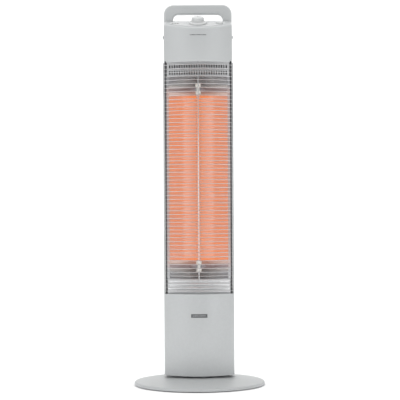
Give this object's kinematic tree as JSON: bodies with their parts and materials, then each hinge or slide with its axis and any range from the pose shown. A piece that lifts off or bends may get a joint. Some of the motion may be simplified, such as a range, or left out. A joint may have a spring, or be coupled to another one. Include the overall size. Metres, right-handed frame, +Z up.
{
  "type": "tower heater",
  "caption": "Slim floor-standing infrared tower heater: quartz tube in a parabolic reflector behind a wire guard, swinging column, carry handle and round base",
  "frame": {"origin": "floor level under the middle of the round base, on the swing axis", "axes": "+Z up the column, -Y the front that radiates heat, +X to the right seen from the front"},
  "size_m": [0.33, 0.33, 0.965],
  "materials": {
    "silver_casing": "satin silver-grey moulding with a fine metallic fleck",
    "base_finish": "satin silver-grey moulding, a little darker",
    "panel_film": "pale grey printed film",
    "grey_control": "light grey moulded control",
    "black_sheet": "black painted sheet steel",
    "zinc_sheet": "zinc coated sheet steel",
    "steel_weight": "black painted steel plate",
    "bright_reflector": "polished aluminium reflector",
    "bright_plate": "bright pressed aluminium",
    "guard_chrome": "bright nickel plated wire",
    "quartz": "clear fused quartz",
    "glowing_element": "graphite at working heat",
    "ceramic_white": "unglazed white steatite",
    "spring_steel": "spring steel",
    "screw_zinc": "zinc plated steel",
    "black_plastic": "black moulding",
    "white_nylon": "natural acetal, self-lubricating",
    "rubber_foot": "soft black rubber",
    "board_green": "printed circuit laminate",
    "sink_alu": "extruded aluminium",
    "contact_brass": "brass contact",
    "lead_sleeve": "silicone and glass fibre sleeve",
    "lens_amber": "smoked clear indicator lens",
    "badge_grey": "plain dark badge without lettering"
  },
  "bodies": {
    "base": {"base_cover": "base_finish", "base_plate": "steel_weight", "base_feet": "rubber_foot", "base_screws": "screw_zinc", "swivel_post": "zinc_sheet", "post_screws": "screw_zinc", "swivel_washer": "white_nylon", "swing_yoke": "zinc_sheet", "yoke_screws": "screw_zinc", "tip_switch_housing": "black_plastic", "tip_switch_contacts": "contact_brass", "plunger_spring": "spring_steel", "base_leads": "lead_sleeve"},
    "plunger": {"tip_plunger": "white_nylon"},
    "crank": {"swing_crank": "white_nylon"},
    "dial": {"dial_knob": "grey_control", "dial_shaft": "screw_zinc"},
    "button": {"swing_button": "grey_control"},
    "column": {"rear_shell": "silver_casing", "lower_cover": "silver_casing", "head_cover": "silver_casing", "head_rear": "silver_casing", "handle_front": "silver_casing", "handle_rear": "silver_casing", "side_caps": "silver_casing", "bottom_plate": "zinc_sheet", "swivel_bush": "white_nylon", "motor_bracket": "zinc_sheet", "swing_motor": "sink_alu", "motor_screws": "screw_zinc", "frame_rail_left": "black_sheet", "frame_rail_right": "black_sheet", "heat_shield": "zinc_sheet", "reflector": "bright_reflector", "reflector_ends": "bright_reflector", "heater_tube": "quartz", "heater_element": "glowing_element", "tube_caps": "ceramic_white", "tube_clips": "spring_steel", "vent_plate": "bright_plate", "lower_plate": "bright_plate", "wire_guard": "guard_chrome", "control_panel": "panel_film", "badge_lower": "badge_grey", "indicator_lenses": "lens_amber", "rotary_switch": "black_plastic", "panel_board": "board_green", "tact_switch": "black_plastic", "power_board": "board_green", "relays": "black_plastic", "heat_sink": "sink_alu", "terminal_block": "white_nylon", "thermostat": "sink_alu", "heater_leads": "lead_sleeve", "panel_cable": "lead_sleeve", "switch_leads": "lead_sleeve", "cord_inlet": "black_plastic", "rear_screws": "screw_zinc"}
  },
  "joints": [
    {"name": "swing", "type": "hinge", "parent": "base", "child": "column", "pos_m": [0, 0, 0.03], "axis": [0, 0, 1], "range_deg": [-30, 30]},
    {"name": "swing_crank", "type": "hinge", "parent": "column", "child": "crank", "pos_m": [0.034, 0, 0.055], "axis": [0, 0, 1], "range_deg": [-90, 90]},
    {"name": "dial_turn", "type": "hinge", "parent": "column", "child": "dial", "pos_m": [0, -0.018, 0.9121], "axis": [0, -0.342, 0.9397], "range_deg": [-270, 0]},
    {"name": "swing_press", "type": "slide", "parent": "column", "child": "button", "axis": [0, 0.342, -0.9397], "range_m": [0, 0.0015], "stiffness_N_per_m": 500},
    {"name": "tip_drop", "type": "slide", "parent": "base", "child": "plunger", "axis": [0, 0, -1], "range_m": [0, 0.004], "stiffness_N_per_m": 60, "springref_m": 0.006, "deforming": ["plunger_spring"]}
  ],
  "couplings": [
    {"joint": "swing_crank", "follows": "swing", "ratio": -3}
  ]
}
